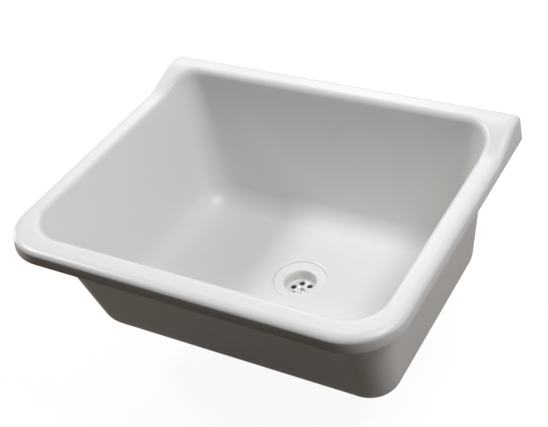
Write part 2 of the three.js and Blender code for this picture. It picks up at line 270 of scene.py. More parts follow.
basin_white = basin_plastic()
print("basin_white:", len(basin_white.tree.nodes), "nodes")

# %% [markdown]
# The outlet's mouldings are a harder, glossier white, with a smoother face and the faint flow lines
# that injected plastic keeps. In the picture the wall of the strainer's cup is a little greener than its
# lip, as if hard water had left a film of lime. A second colour, greener and darker than the white, is
# mixed in by height and by distance from the axis. On the cup's wall it is that film together with painted
# shade, in the grid's holes it is painted shade alone, and it leaves the lip and the grid's face clean.

# %% White moulded plastic, with or without the film
OUTLET_WHITES = ((0.83, 0.83, 0.82), (0.87, 0.87, 0.86))
FLOW_LINES = 260
FLOW_CLOUDS = 60
FLOW_DEPTH = 0.02 * MM
GRID_SKIN = 2.6
DIMPLE = 2.8
# The colour below is greener and darker than the white: a film with painted shade on the cup's wall, and
# painted shade alone in the grid's holes.
FILM_AND_SHADE_COLOUR = (0.70, 0.715, 0.65, 1)
FILM_ROUGHNESS = 0.15
FILM_AND_SHADE_ON_WALL = (5, 10)  # mm below the lip, where the film starts and where it is full
FILM_AND_SHADE_OFF_GRID = (0.2, 2.5)  # mm above the grid
PAINTED_SHADE_IN_HOLES = (0.3, 1.5)  # mm below the grid's face
PAINTED_SHADE_OFF_DIMPLE = (9.7, 10.2)  # mm from the axis
flange_radius, flange_bottom, flange_top = extent("drain_flange")
grid_top = flange_bottom + GRID_SKIN + DIMPLE


def cup_film_and_painted_shade(white, centred, clouds):
    """How strong the film and the painted shade are: both on the cup's wall, and painted shade alone in the
    grid's holes.
    """
    height = white.height()
    below_lip = white.between(height, *[flange_top - depth for depth in FILM_AND_SHADE_ON_WALL])
    above_grid = white.between(height, *[grid_top + rise for rise in FILM_AND_SHADE_OFF_GRID])
    flat = white.node("VectorMath", {"operation": "MULTIPLY"}, {0: centred, 1: (1, 1, 0)})
    from_axis = white.node("VectorMath", {"operation": "LENGTH"}, {0: flat}, output="Value")
    outside_dimple = white.between(from_axis, *PAINTED_SHADE_OFF_DIMPLE)
    in_holes = white.between(height, *[grid_top - depth for depth in PAINTED_SHADE_IN_HOLES]) * outside_dimple
    return (below_lip * above_grid + in_holes) * (0.8 + 0.4 * clouds)


def moulded_plastic(name, film=None):
    """White moulded plastic, with a greener, darker colour mixed in, a film with painted shade, where the
    function film says so.
    """
    white = Finish(name, IOR=1.5)
    centred = white.centred()
    flow = white.rings(centred, FLOW_LINES, distortion=6)
    clouds = white.noise(FLOW_CLOUDS, detail=3)
    colour = white.tint(clouds, *OUTLET_WHITES)
    roughness = 0.18 + 0.12 * clouds
    if film:
        # The colour mixed in here is a film with painted shade on the cup's wall, and painted shade alone in
        # the grid's holes.
        share = film(white, centred, clouds)
        colour = white.node("Mix", {"data_type": "RGBA"}, {"Factor": share, 6: colour, 7: FILM_AND_SHADE_COLOUR}, output=2)
        roughness = roughness + FILM_ROUGHNESS * share
    white.wire(Base_Color=colour, Roughness=roughness)
    white.relief(0.5 * flow + 0.5 * clouds, depth=FLOW_DEPTH)
    return white


outlet_white = moulded_plastic("outlet_white_gloss")
strainer_white = moulded_plastic("strainer_white_filmed", film=cup_film_and_painted_shade)
print("The film starts", FILM_AND_SHADE_ON_WALL[0], "mm below the lip, and the grid is at", round(grid_top, 1), "mm")

# %% [markdown]
# The rubber is matt and dusty, the insert is turned brass, and the screw is bright plated steel. What a
# lathe leaves is fine rings round the axis, so the two metals share one function.

# %% Rubber and metal
RUBBER_DUST = 140
RUBBER_PORES = 1800
PORE_DEPTH = 0.04 * MM
LATHE_LINES = 1900
SMEARS = 420


def soft_rubber():
    rubber = Finish("rubber_black_matt", IOR=1.52)
    dust = rubber.noise(RUBBER_DUST, detail=4, roughness=0.6)
    pores = rubber.noise(RUBBER_PORES, detail=2)
    rubber.wire(
        Base_Color=rubber.tint(dust, (0.018, 0.018, 0.019), (0.06, 0.06, 0.058)),
        Roughness=0.62 + 0.25 * dust,
    )
    rubber.relief(pores, depth=PORE_DEPTH)
    return rubber


def turned_metal(name, dark, light, roughness, ring_depth):
    metal = Finish(name, Metallic=1.0)
    rings = metal.rings(metal.centred(), LATHE_LINES, distortion=1)
    smears = metal.noise(SMEARS, detail=3)
    metal.wire(
        Base_Color=metal.tint(smears, dark, light),
        Roughness=roughness + 0.14 * smears,
    )
    metal.relief(rings, depth=ring_depth)
    return metal


rubber_black = soft_rubber()
screw_steel = turned_metal(
    "screw_steel_bright", dark=(0.62, 0.62, 0.63), light=(0.8, 0.8, 0.81), roughness=0.12,
    ring_depth=0.004 * MM)
insert_brass = turned_metal(
    "insert_brass_turned", dark=(0.55, 0.38, 0.13), light=(0.78, 0.58, 0.26), roughness=0.28,
    ring_depth=0.008 * MM)
print("Finishes:", [material.name for material in bpy.data.materials if material.name[0].islower()])

# %% [markdown]
# The basin is one skin, 4 mm thick, that runs from the hole in its floor, up the bowl, over the rim
# and down to the skirt, and all the way back underneath. It could be carved from a box with bevels,
# but its rim turns over by a different amount at the wall than at the sides, and a ramp lifts it to
# the ledge. So it is grown from one loop of edges: a square whose corners the bevel operator rounds.
# Each step extrudes that loop and lays it along the next line of the skin.

# %% The seed loop
CORNER_STEPS = 16
SIDE_CUTS = 23
SEED_CORNER = 0.5  # the share of half a side that a corner's rounding takes


def seed_loop(bm, seed):
    """A loop of edges round a square with rounded corners, each vertex marked with its place there."""
    spots = ((-1, -1, 0), (1, -1, 0), (1, 1, 0), (-1, 1, 0))
    corners = [bm.verts.new(spot) for spot in spots]
    for start, end in zip(corners, corners[1:] + corners[:1]):
        bm.edges.new((start, end))
    bmesh.ops.bevel(
        bm, geom=corners, affect="VERTICES", offset=SEED_CORNER, segments=CORNER_STEPS, profile=0.5,
        material=-1)
    sides = [edge for edge in bm.edges if edge.calc_length() > SEED_CORNER]
    bmesh.ops.subdivide_edges(bm, edges=sides, cuts=SIDE_CUTS)
    for vertex in bm.verts:
        vertex[seed] = vertex.co
    return bm.edges[:]


def grow(bm, seed, loop, track):
    """Extrudes a loop of edges and lays the new one along a track."""
    grown = bmesh.ops.extrude_edge_only(bm, edges=loop)["geom"]
    for vertex in (part for part in grown if isinstance(part, bmesh.types.BMVert)):
        vertex.co = track(Vector(vertex[seed]))
    return [part for part in grown if isinstance(part, bmesh.types.BMEdge)]


# %% [markdown]
# A track says where each vertex of the seed loop goes. Seen from above, every line of the skin is a
# rounded rectangle, so a vertex keeps its corner and the way it faces, and only the rectangle's sizes
# change. Towards the wall the vertices stand closer together, because the ramp of the ledge is there.

# %% Rounded rectangles, and the lift of the ledge
RIM_WIDTH = 2 * extent("basin")[0]
LEDGE_HEIGHT = extent("basin")[2]
RAMP_START = 100  # distances from the wall
RAMP_END = 22
SKIRT = 20
SKIRT_LEAN = 0.1
CROWDING = 1.6  # 1 spaces a side's vertices evenly, and more draws them to the wall


def mix(first, second, share):
    return first + (second - first) * share


def clamp(value, low, high):
    return max(low, min(high, value))


def lift(y):
    """How far the rim is raised at a distance from the wall."""
    share = clamp((y + RAMP_START) / (RAMP_START - RAMP_END), 0, 1)
    return LEDGE_HEIGHT * share * share * (3 - 2 * share)


def centre_and_facing(seed):
    """The corner that a seed belongs to, and the way it faces from the middle of that corner's rounding."""
    reach = 1 - SEED_CORNER
    middle = Vector((clamp(seed.x, -reach, reach), clamp(seed.y, -reach, reach), 0))
    return middle / reach, (seed - middle) / SEED_CORNER


def outline(half_width, front, back, front_corner, back_corner):
    """Where a seed lies on a rounded rectangle of that size, and the way it faces there."""
    def spot(seed):
        centre, facing = centre_and_facing(seed)
        share = 1 - ((1 - centre.y) / 2) ** CROWDING
        corner = mix(front_corner, back_corner, share)
        y = mix(front + front_corner, back - back_corner, share) + corner * facing.y
        x = centre.x * (half_width - corner) + corner * facing.x
        return Vector((x, y, 0)), facing
    return spot


def level(spot, height):
    """A track along an outline, at the height that a point and its facing give."""
    def track(seed):
        point, facing = spot(seed)
        point.z = height(point, facing)
        return point
    return track


def leaning(track):
    """The same track, with the rim's front and sides leaning in as they rise from the skirt's edge."""
    def leant(seed):
        point = track(seed)
        inset = SKIRT_LEAN * (point.z + SKIRT)
        point.x *= 1 - inset / (RIM_WIDTH / 2)
        point.y -= min(centre_and_facing(seed)[1].y, 0) * inset
        return point
    return leant


print("The ledge rises", round(LEDGE_HEIGHT, 1), "mm, and", round(lift(-RAMP_START / 2), 1), "mm half way")

# %% [markdown]
# Where two sides of the skin meet, the mould has a generous rounding. It is a curve between three
# tracks: one on each side, and one along the corner that they would have without it. With the middle
# weight of a circle's quarter, the rounding is a true arc wherever the two sides are square.

# %% Roundings between tracks
ROUND_STEPS = 12


def rounding(start, corner, end):
    """The tracks of a curve from one side to the other, past their corner."""
    tracks = []
    for step in range(ROUND_STEPS + 1):
        t = step / ROUND_STEPS
        weights = ((1 - t) ** 2, sqrt(2) * t * (1 - t), t ** 2)
        tracks.append(lambda seed, weights=weights: sum(
            (track(seed) * weight for track, weight in zip((start, corner, end), weights)), Vector()
        ) / sum(weights))
    return tracks


# %% [markdown]
# The bowl's sides lean in as they go down, most of all at the front. Its front corners tighten on the
# way, and its back ones widen. These sizes, like those of the rim, are the ones that the CAD basin was
# drawn with.

# %% The skin's own sizes
RIM_DEPTH = (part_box("basin")[1].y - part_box("basin")[0].y) / MM
FLOOR_UNDER = -240
SKIN = 4
SIDE_RIM = 34
FRONT_RIM = 40
BACK_RIM = 34
SIDE_LEAN = 0.109
FRONT_LEAN = 0.312
BACK_LEAN = 0.005
MOUTH_CORNERS = (50, 38)  # front and back
FLOOR_CORNERS = (41, 48)
LEAST_CORNER = 0.01
FLOOR_FILLET = 34
FLOOR_FALL = 3
RIM_CORNERS = (76, 5)
RIM_EDGE = 12
RIM_EDGE_DROP = 7
BOWL_EDGE = 9
LEDGE_BACK_EDGE = 8
LEDGE_CORNER = 8


def bowl(depth, offset=0):
    """The bowl's wall at a depth below the rim, moved outwards by an offset."""
    share = -depth / FLOOR_UNDER
    corners = [mix(mouth, floor, share) + offset for mouth, floor in zip(MOUTH_CORNERS, FLOOR_CORNERS)]
    return outline(
        RIM_WIDTH / 2 - SIDE_RIM - SIDE_LEAN * depth + offset,
        -RIM_DEPTH + FRONT_RIM + FRONT_LEAN * depth - offset,
        -BACK_RIM - BACK_LEAN * depth + offset,
        *corners)


def rim(inset):
    """The rim's outside, moved inwards by an inset."""
    front_corner, back_corner = (max(corner - inset, LEAST_CORNER) for corner in RIM_CORNERS)
    return outline(RIM_WIDTH / 2 - inset, -RIM_DEPTH + inset, -inset, front_corner, back_corner)


def flat_top():
    """The outer line of the rim's flat."""
    return outline(
        RIM_WIDTH / 2 - RIM_EDGE, -RIM_DEPTH + RIM_EDGE, -LEDGE_BACK_EDGE,
        RIM_CORNERS[0] - RIM_EDGE, LEDGE_CORNER)


def edge_drop(facing):
    """The height of the rim's outer rounding, which is a plain arc along the wall."""
    return mix(RIM_EDGE_DROP, LEDGE_BACK_EDGE, max(facing.y, 0) ** 2)


print("The rim is", round(RIM_WIDTH), "by", round(RIM_DEPTH), "mm")

# %% [markdown]
# One side of the skin goes from the edge of the floor to the skirt in three roundings with plain walls
# between them. The long wall gets a few lines of its own, so that its shading is not bent by the
# roundings at its ends. The hidden side underneath is the same, 4 mm further out.

# %% One side of the skin
WALL_LINES = 9
FLAT_LINES = 6
FLOOR_EDGE = FLOOR_UNDER + SKIN + FLOOR_FALL


def skin_side(below):
    floor = FLOOR_UNDER if below else FLOOR_EDGE
    fillet = FLOOR_FILLET + below
    top = lambda point, facing: lift(point.y) - below
    flat_start = level(bowl(0, BOWL_EDGE), top)
    flat_end = leaning(level(flat_top(), top))

    def across(share):
        def track(seed):
            point = flat_start(seed).lerp(flat_end(seed), share)
            point.z = lift(point.y) - below
            return point
        return track

    def up_wall(share):
        return lambda seed: foot(seed).lerp(mouth(seed), share)

    foot = level(bowl(-floor - fillet, below), lambda point, facing: floor + fillet)
    mouth = level(bowl(BOWL_EDGE, below), lambda point, facing: lift(point.y) - BOWL_EDGE)
    return [
        *rounding(
            level(bowl(-floor, below - fillet), lambda point, facing: floor),
            level(bowl(-floor, below), lambda point, facing: floor),
            foot,
        ),
        *[up_wall(line / WALL_LINES) for line in range(1, WALL_LINES)],
        *rounding(mouth, level(bowl(below, below), top), flat_start),
        *[across(line / FLAT_LINES) for line in range(1, FLAT_LINES)],
        *rounding(
            flat_end,
            leaning(level(rim(below), top)),
            leaning(level(rim(below), lambda point, facing: lift(point.y) - edge_drop(facing))),
        ),
    ]


# %% [markdown]
# Round the outlet the lines of the floor pass from a rounded rectangle to a circle. The floor falls a
# few millimetres to the drain, with no crease where it starts, so the fall eases in. The outlet lies in
# a round recess, whose edge dips softly to meet it, so that water leaves no puddle. Below it the floor
# is thicker, as a boss, to take the clamp.

# %% The floor, its recess and its boss
RECESS_GAP = 0.06
RECESS = flange_radius + RECESS_GAP
OUTLET_HOLE = 30.7
SEAT_GAP = 0.3
DISH_SLOPE = 0.225
BOSS = 50
BOSS_FLARE = 6
FLOOR_LINES = 20
EASE = 0.25
DIP = 1.8
DIP_WIDTH = 6


def disc(radius, height):
    """A track round the drain."""
    def track(seed):
        towards = bowl(-FLOOR_EDGE, -FLOOR_FILLET)(seed)[0] - DRAIN
        return DRAIN + towards.normalized() * radius + Vector((0, 0, height))
    return track


def fall(share):
    """The floor's height at a share of the way from its edge to the drain's axis."""
    eased = share * share / (2 * EASE) if share < EASE else share - EASE / 2
    return FLOOR_EDGE - FLOOR_FALL * eased / (1 - EASE / 2)


def floor_line(share):
    """A track at a share of the way from the recess to the edge of the floor."""
    def track(seed):
        edge = bowl(-FLOOR_EDGE, -FLOOR_FILLET)(seed)[0]
        point = disc(RECESS, 0)(seed).lerp(edge, share)
        away = (point - DRAIN).length
        dip = DIP * clamp(1 - (away - RECESS) / DIP_WIDTH, 0, 1) ** 2
        point.z = fall(1 - away / (edge - DRAIN).length) - dip
        return point
    return track


recess_edge = floor_line(0)(Vector((1, 0, 0)))
print("The floor falls from", round(fall(0), 1), "to", round(recess_edge.z, 1), "mm at the recess")

# %% [markdown]
# Now the whole skin can be grown: out over the floor, up, over and down to the skirt, then back under
# the bowl to the boss and up through the hole. Bridging the last loop to the first closes it, and one
# bevel takes the sharpness off the skirt, the recess and the boss, as no moulding has a sharp edge.

# %% Grow the basin
EDGE_SOFTNESS = 0.9
SEAT = extent("flange_gasket")[1] - SEAT_GAP  # the lowest part of the outlet's dished seat
BOSS_UNDER = extent("basin")[1]


def make_basin():
    bm = bmesh.new()
    seed = bm.verts.layers.float_vector.new("seed")
    loop = seed_loop(bm, seed)
    first = loop
    for vertex in bm.verts:
        vertex.co = disc(OUTLET_HOLE, SEAT)(Vector(vertex[seed]))
    tracks = [
        disc(RECESS, SEAT + DISH_SLOPE * (RECESS - OUTLET_HOLE)),
        *[floor_line((line / FLOOR_LINES) ** 2) for line in range(FLOOR_LINES)],
        *skin_side(0),
        level(rim(0), lambda point, facing: -SKIRT),
        level(rim(SKIN), lambda point, facing: -SKIRT),
        *reversed(skin_side(SKIN)),
        disc(BOSS + BOSS_FLARE, FLOOR_UNDER),
        disc(BOSS, BOSS_UNDER),
        disc(OUTLET_HOLE, BOSS_UNDER),
    ]
    for track in tracks:
        loop = grow(bm, seed, loop, track)
    bmesh.ops.bridge_loops(bm, edges=first + loop)
    bmesh.ops.recalc_face_normals(bm, faces=bm.faces)
    hard_edges = [edge for edge in bm.edges if edge.calc_face_angle(0) > HARD_EDGE]
    bmesh.ops.bevel(
        bm, geom=hard_edges, affect="EDGES", offset=EDGE_SOFTNESS, segments=3, profile=0.5, material=-1,
        clamp_overlap=True)
    return bm


finish_piece("basin_skin", make_basin(), basin_white, "sink", "basin")

# %% [markdown]
# The outlet's pieces are round, so each one is a profile that is spun about the axis. A profile is a
# list of corners, each with its radius, its height and how much the mould rounds it. The bevel operator
# works on a bare line too: it rounds those corners before the spin.

# %% Spin a profile
TURN_STEPS = 128
WELD = 0.001  # vertices closer than this are one


def turn(bm, profile, closed=True, centre=(0, 0), steps=TURN_STEPS):
    """Adds a profile of (radius, height, rounding) corners, spun about an upright axis."""
    x, y = centre
    kept = set(bm.verts)
    corners = [bm.verts.new((x + radius, y, height)) for radius, height, _ in profile]
    ends = corners[1:] + corners[:1] if closed else corners[1:]
    for start, end in zip(corners, ends):
        bm.edges.new((start, end))
    for corner, (_, _, softness) in zip(corners, profile):
        if softness:
            bmesh.ops.bevel(
                bm, geom=[corner], affect="VERTICES", offset=softness, segments=4, profile=0.5, material=-1)
    line = [vertex for vertex in bm.verts if vertex not in kept]
    edges = {edge for vertex in line for edge in vertex.link_edges}
    bmesh.ops.spin(
        bm, geom=line + list(edges), cent=(x, y, 0), axis=(0, 0, 1), angle=2 * pi, steps=steps,
        use_merge=True)
    bmesh.ops.remove_doubles(bm, verts=bm.verts, dist=WELD)
    return bm


def boxed(bm, size, middle, softness, turned_by):
    """Adds a block with softened edges, turned about the Z axis after it is placed."""
    block = bmesh.ops.create_cube(bm, size=1)["verts"]
    bmesh.ops.scale(bm, vec=size, verts=block)
    bmesh.ops.translate(bm, vec=middle, verts=block)
    bmesh.ops.rotate(bm, cent=(0, 0, 0), matrix=Matrix.Rotation(turned_by, 3, "Z"), verts=block)
    edges = list({edge for vertex in block for edge in vertex.link_edges})
    bmesh.ops.bevel(
        bm, geom=edges, affect="EDGES", offset=softness, segments=3, profile=0.5, material=-1)


def cut(bm, tool):
    """Cuts one solid out of another with the Boolean modifier, and returns what is left."""
    objects = []
    for solid in (bm, tool):
        bmesh.ops.recalc_face_normals(solid, faces=solid.faces)
        mesh = bpy.data.meshes.new("solid")
        solid.to_mesh(mesh)
        solid.free()
        objects.append(bpy.data.objects.new("solid", mesh))
        bpy.context.scene.collection.objects.link(objects[-1])
    body, cutter = objects
    modifier = body.modifiers.new("cut", "BOOLEAN")
    modifier.object = cutter
    left = bmesh.new()
    left.from_object(body, bpy.context.evaluated_depsgraph_get())
    for part in objects:
        bpy.data.objects.remove(part)
    return left


# %% [markdown]
# The flange lies dished in the floor's recess. Its cup goes down to a flat grid with six round holes,
# and in the middle of the grid the screw's head lies in a dimple. The walls of the cup, of each hole and
# of the dimple are spun first, each with a strip of the grid's face. The open edges of those strips lie
# in two flat levels, and filling each level between all its rings makes the grid with its holes.

# %% The drain flange and its grid
CUP = 26.5
CUP_LEAN = 0.09
CUP_SKIN = 2.5
FLANGE_SKIN = 2.4
FLANGE_LIP = 1.2
DIMPLE_FOOT = 5.8
DIMPLE_SLOPE = 3.4
GRID_BOSS = 9.5
SCREW_WAY = 3.2
HOLES = 6
HOLE = 4.7
HOLE_CIRCLE = 15.1
GRID_TURN = radians(52)
CUP_STRIP = 2
DIMPLE_STRIP = 0.8
BOSS_STRIP = 0.3
HOLE_STRIP = 0.4
SAME_LEVEL = 0.01
SOFT = 0.4
grid_under = grid_top - GRID_SKIN


def dish(radius):
    """The height of the flange's dished face."""
    return flange_top + DISH_SLOPE * (radius - flange_radius + FLANGE_LIP)


def make_flange():
    bm = bmesh.new()
    foot = CUP - CUP_LEAN * (dish(CUP) - grid_top)
    turn(bm, [
        (foot - CUP_STRIP, grid_top, 0),
        (foot, grid_top, 1.4),
        (CUP, dish(CUP), 1.6),
        (flange_radius, dish(flange_radius), FLANGE_LIP),
        (flange_radius, dish(flange_radius) - FLANGE_SKIN, SOFT),
        (CUP + CUP_SKIN, dish(CUP + CUP_SKIN) - FLANGE_SKIN, SOFT),
        (foot + CUP_SKIN, grid_under, 1),
        (foot, grid_under, 0),
    ], closed=False)
    turn(bm, [
        (DIMPLE_FOOT + DIMPLE_SLOPE + DIMPLE_STRIP, grid_top, 0),
        (DIMPLE_FOOT + DIMPLE_SLOPE, grid_top, 0.6),
        (DIMPLE_FOOT, grid_top - DIMPLE, 0.6),
        (SCREW_WAY, grid_top - DIMPLE, 0.2),
        (SCREW_WAY, flange_bottom, 0.2),
        (GRID_BOSS, flange_bottom, SOFT),
        (GRID_BOSS, grid_under, 0.2),
        (GRID_BOSS + BOSS_STRIP, grid_under, 0),
    ], closed=False)
    for hole in range(HOLES):
        angle = GRID_TURN + 2 * pi * hole / HOLES
        place = (HOLE_CIRCLE * cos(angle), HOLE_CIRCLE * sin(angle))
        turn(bm, [
            (HOLE + HOLE_STRIP, grid_top, 0),
            (HOLE, grid_top, 0.3),
            (HOLE, grid_under, 0.3),
            (HOLE + HOLE_STRIP, grid_under, 0),
        ], closed=False, centre=place, steps=48)
    for height in (grid_top, grid_under):
        rims = [
            edge for edge in bm.edges
            if edge.is_boundary and all(abs(vertex.co.z - height) < SAME_LEVEL for vertex in edge.verts)]
        bmesh.ops.triangle_fill(bm, use_beauty=True, edges=rims)
    return bm


finish_piece("flange_and_grid", make_flange(), strainer_white, "sink", "drain_flange", DRAIN)

# %% [markdown]
# The screw has a low round head with a slot, and only the head shows. The head's dome is a quarter of
# an ellipse. Its slot goes right across, which is a cut that no spin can make, so the Boolean modifier
# takes it out.

# %% The centre screw
SCREW = 2.9
SCREW_TIP = 1
HEAD_EDGE = 0.8
HEAD_HEIGHT = 3.4
SLOT_WIDTH = 1.7
SLOT_DEPTH = 2
SLOT_SOFTNESS = 0.15
SLOT_TURN = radians(118)
DOME_STEPS = 14


def make_screw():
    head, tip, top = extent("centre_screw")
    seat = top - HEAD_HEIGHT
    dome = []
    for step in range(1, DOME_STEPS):
        angle = pi / 2 * step / DOME_STEPS
        dome.append((head * cos(angle), seat + HEAD_EDGE + (HEAD_HEIGHT - HEAD_EDGE) * sin(angle), 0))
    bm = turn(bmesh.new(), [
        (0, tip, 0),
        (SCREW - SCREW_TIP, tip, 0.2),
        (SCREW, tip + SCREW_TIP, 0.2),
        (SCREW, seat, 0),
        (head, seat, 0.2),
        (head, seat + HEAD_EDGE, 0),
        *dome,
        (0, top, 0),
    ], closed=False, steps=64)
    slot = bmesh.new()
    boxed(slot, (3 * head, SLOT_WIDTH, 2 * SLOT_DEPTH), (0, 0, top), SLOT_SOFTNESS, SLOT_TURN)
    return cut(bm, slot)


finish_piece(
    "screw_with_slot", make_screw(), screw_steel, "centre_screw", "centre_screw", DRAIN)

# %% [markdown]
# Three rubber rings seal the outlet. They are plain turned rings, but with soft edges, because rubber
# that is squeezed between two faces swells out round. Each is drawn in the space of its CAD node.

# %% The rubber rings
CONE_FOOT = 2.2
PIPE_WAY = 20.35


def make_flange_gasket():
    outer, low, high = extent("flange_gasket")
    rise = DISH_SLOPE * (outer - OUTLET_HOLE)
    return turn(bmesh.new(), [
        (OUTLET_HOLE, low, 0.3),
        (outer, low + rise, 0.5),
        (outer, high, 0.5),
        (OUTLET_HOLE, high - rise, 0.3),
    ])


def make_under_gasket():
    outer, low, high = extent("under_gasket")
    return turn(bmesh.new(), [
        (OUTLET_HOLE, low, 0.6), (outer, low, 1.2), (outer, high, 1.2), (OUTLET_HOLE, high, 0.6)])


def make_cone():
    outer, low, high = extent("cone_washer")
    return turn(bmesh.new(), [
        (PIPE_WAY, low, 0.3),
        (PIPE_WAY + CONE_FOOT, low, 0.5),
        (outer, high - CONE_FOOT / 2, 0.3),
        (outer, high, 0.3),
        (PIPE_WAY, high, 0.3),
    ])


rings = {"flange_gasket": make_flange_gasket, "under_gasket": make_under_gasket, "cone_washer": make_cone}
for name, make in rings.items():
    finish_piece("rubber_" + name, make(), rubber_black, "sink", name, DRAIN)

# %% [markdown]
# The lower half of the outlet is a white bowl with a collar on top and a threaded tail below. Its thread
# is a real helix: a small ridge that the spin operator carries down by one pitch for each turn. Inside,
# three arms hold a core with a six-sided pocket for the brass insert.

# %% The waste body
COLLAR = 4
BODY = 33.5
BODY_SKIN = 2.8
BODY_DEPTH = 22
BODY_CONE = 12
TAIL_BORE = 20
THREAD = 23.9
THREAD_DEPTH = 1.3
PITCH = 2.309
THREAD_FOOT = 0.48  # shares of the pitch, from the middle of the ridge
THREAD_CREST = 0.125
THREAD_ROOTED = 0.2  # how deep the ridge's foot lies in the tail
THREAD_TURNS = 10
THREAD_STEPS = 64
ARMS = 3
ARM_THICKNESS = 3
ARM_HEIGHT = 11
ARM_SOFTNESS = 0.5
CORE = 9
CORE_BELOW_FLANGE = 6
CORE_HEIGHT = 13.5
POCKET_WIDTH = 10.6
POCKET_ROOF = 3


def add_thread(bm, start):
    """A ridge that winds down round the tail from a height."""
    root = THREAD - THREAD_DEPTH - THREAD_ROOTED
    shape = ((root, THREAD_FOOT), (THREAD, THREAD_CREST), (THREAD, -THREAD_CREST), (root, -THREAD_FOOT))
    corners = [bm.verts.new((radius, 0, start + share * PITCH)) for radius, share in shape]
    section = [bm.edges.new(ends) for ends in zip(corners, corners[1:] + corners[:1])]
    wound = bmesh.ops.spin(
        bm, geom=corners + section, cent=(0, 0, 0), axis=(0, 0, 1), dvec=(0, 0, -PITCH / THREAD_STEPS),
        angle=2 * pi * THREAD_TURNS, steps=THREAD_STEPS * THREAD_TURNS)
    far_end = [part for part in wound["geom_last"] if isinstance(part, bmesh.types.BMEdge)]
    bmesh.ops.edgeloop_fill(bm, edges=section)
    bmesh.ops.edgeloop_fill(bm, edges=far_end)


def make_body():
    collar, tail_end, top = extent("waste_body")
    root = THREAD - THREAD_DEPTH
    bore = BODY - BODY_SKIN
    cone_top = top - BODY_DEPTH
    tail_top = cone_top - BODY_CONE
    core_top = flange_bottom - CORE_BELOW_FLANGE
    core = turn(bmesh.new(), [
        (SCREW_WAY, core_top, SOFT), (CORE, core_top, 0.6), (CORE, core_top - CORE_HEIGHT, 0.6),
        (SCREW_WAY, core_top - CORE_HEIGHT, 0)])
    pocket = bmesh.new()
    bmesh.ops.create_cone(
        pocket, cap_ends=True, segments=6, radius1=POCKET_WIDTH / sqrt(3), radius2=POCKET_WIDTH / sqrt(3),
        depth=2 * (CORE_HEIGHT - POCKET_ROOF), matrix=Matrix.Translation((0, 0, core_top - CORE_HEIGHT)))
    bm = cut(core, pocket)
    turn(bm, [
        (collar, top, 0.8),
        (collar, top - COLLAR, 1.2),
        (BODY, top - COLLAR - BODY_SKIN / 2, 2),
        (BODY, cone_top, 3),
        (root, tail_top, 1.5),
        (root, tail_end, 0.8),
        (TAIL_BORE, tail_end, SOFT),
        (TAIL_BORE, tail_top, 1.5),
        (bore, cone_top, 2),
        (bore, top, SOFT),
    ])
    for arm in range(ARMS):
        reach = bore + BODY_SKIN / 2 - CORE / 2
        middle = (CORE / 2 + reach / 2, 0, core_top - ARM_HEIGHT / 2)
        angle = GRID_TURN + pi / HOLES + 2 * pi * arm / ARMS
        boxed(bm, (reach, ARM_THICKNESS, ARM_HEIGHT), middle, ARM_SOFTNESS, angle)
    add_thread(bm, tail_end + (THREAD_TURNS + 1) * PITCH)
    return bm


finish_piece("waste_body_threaded", make_body(), outlet_white, "sink", "waste_body", DRAIN)

# %% [markdown]
# The coupling nut is turned by hand, so it has broad ribs to grip. Each rib is a softened bar that
# stands a little out of the nut's wall.

# %% The coupling nut
NUT = 28
NUT_RIB_WIDTH = 8
NUT_RIBS = 12
NUT_RIB_MIDDLE = 0.65  # of a rib's pitch
NUT_RIB_SHORTER = 3  # than the nut is high
NUT_RIB_SOFTNESS = 1.2
NUT_LIP = 3
NUT_BORE = 24.4
NUT_CONE = 4
NUT_CLEARANCE = 0.35


def make_nut():
    outer, low, high = extent("coupling_nut")
    washer_foot = PIPE_WAY + CONE_FOOT + SEAT_GAP
    bm = turn(bmesh.new(), [
        (NUT, high, 1.6),
        (NUT, low, 1.6),
        (PIPE_WAY + NUT_CLEARANCE, low, 0.8),
        (PIPE_WAY + NUT_CLEARANCE, low + NUT_LIP, SOFT),
        (washer_foot, low + NUT_LIP, 0.1),
        (NUT_BORE, low + NUT_LIP + NUT_CONE, 0.1),
        (NUT_BORE, high, SOFT),
    ])
    rib = (2 * (outer - NUT), NUT_RIB_WIDTH, high - low - NUT_RIB_SHORTER)
    for index in range(NUT_RIBS):
        angle = 2 * pi * (index + NUT_RIB_MIDDLE) / NUT_RIBS
        boxed(bm, rib, (NUT, 0, (high + low) / 2), NUT_RIB_SOFTNESS, angle)
    return bm


finish_piece(
    "coupling_nut_ribbed", make_nut(), outlet_white, "coupling_nut", "coupling_nut", DRAIN)

# %% [markdown]
# The brass insert is six-sided and small, and its CAD node already has that shape. It only needs its
# finish, which goes into the node's own material slot.

# %% Finish the insert
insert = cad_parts["screw_insert"]
insert.data.materials.clear()
insert.data.materials.append(insert_brass.material)
print("screw_insert keeps its CAD shape:", len(insert.data.polygons), "faces")

# %% [markdown]
# The sink hangs over a plain pale floor. The camera sees the floor and the world behind it as white
# paper, and so does a ray that passes through something clear. A reflection shows them too, but dimmed,
# because at full strength they make the front of the bowl much lighter than it is in the picture. How
# far to dim them was chosen. The floor keeps the sink's shadow, and its own colour is dark, so it
# gives little light back from below.

# %% What each kind of ray sees of the background
REFLECTED = 0.25


def background_white(nodes, links):
    """Light Path's answer to how white the background is: 1 to the camera, and dimmer in a reflection."""
    rays = nodes.new("ShaderNodeLightPath").outputs
    dimmed = nodes.new("ShaderNodeMath")
    dimmed.operation = "MULTIPLY"
    dimmed.inputs[1].default_value = REFLECTED
    links.new(rays["Is Glossy Ray"], dimmed.inputs[0])
    white = rays["Is Camera Ray"]
    for other in (rays["Is Transmission Ray"], dimmed.outputs[0]):
        either = nodes.new("ShaderNodeMath")
        either.operation = "MAXIMUM"
        links.new(white, either.inputs[0])
        links.new(other, either.inputs[1])
        white = either.outputs[0]
    return white


print("A reflection shows the background at", REFLECTED, "of its white")

# %% Floor and world
FLOOR_GLOW = 0.93
FLOOR_COLOUR = (0.14, 0.115, 0.085, 1)
FLOOR_SIZE = 12


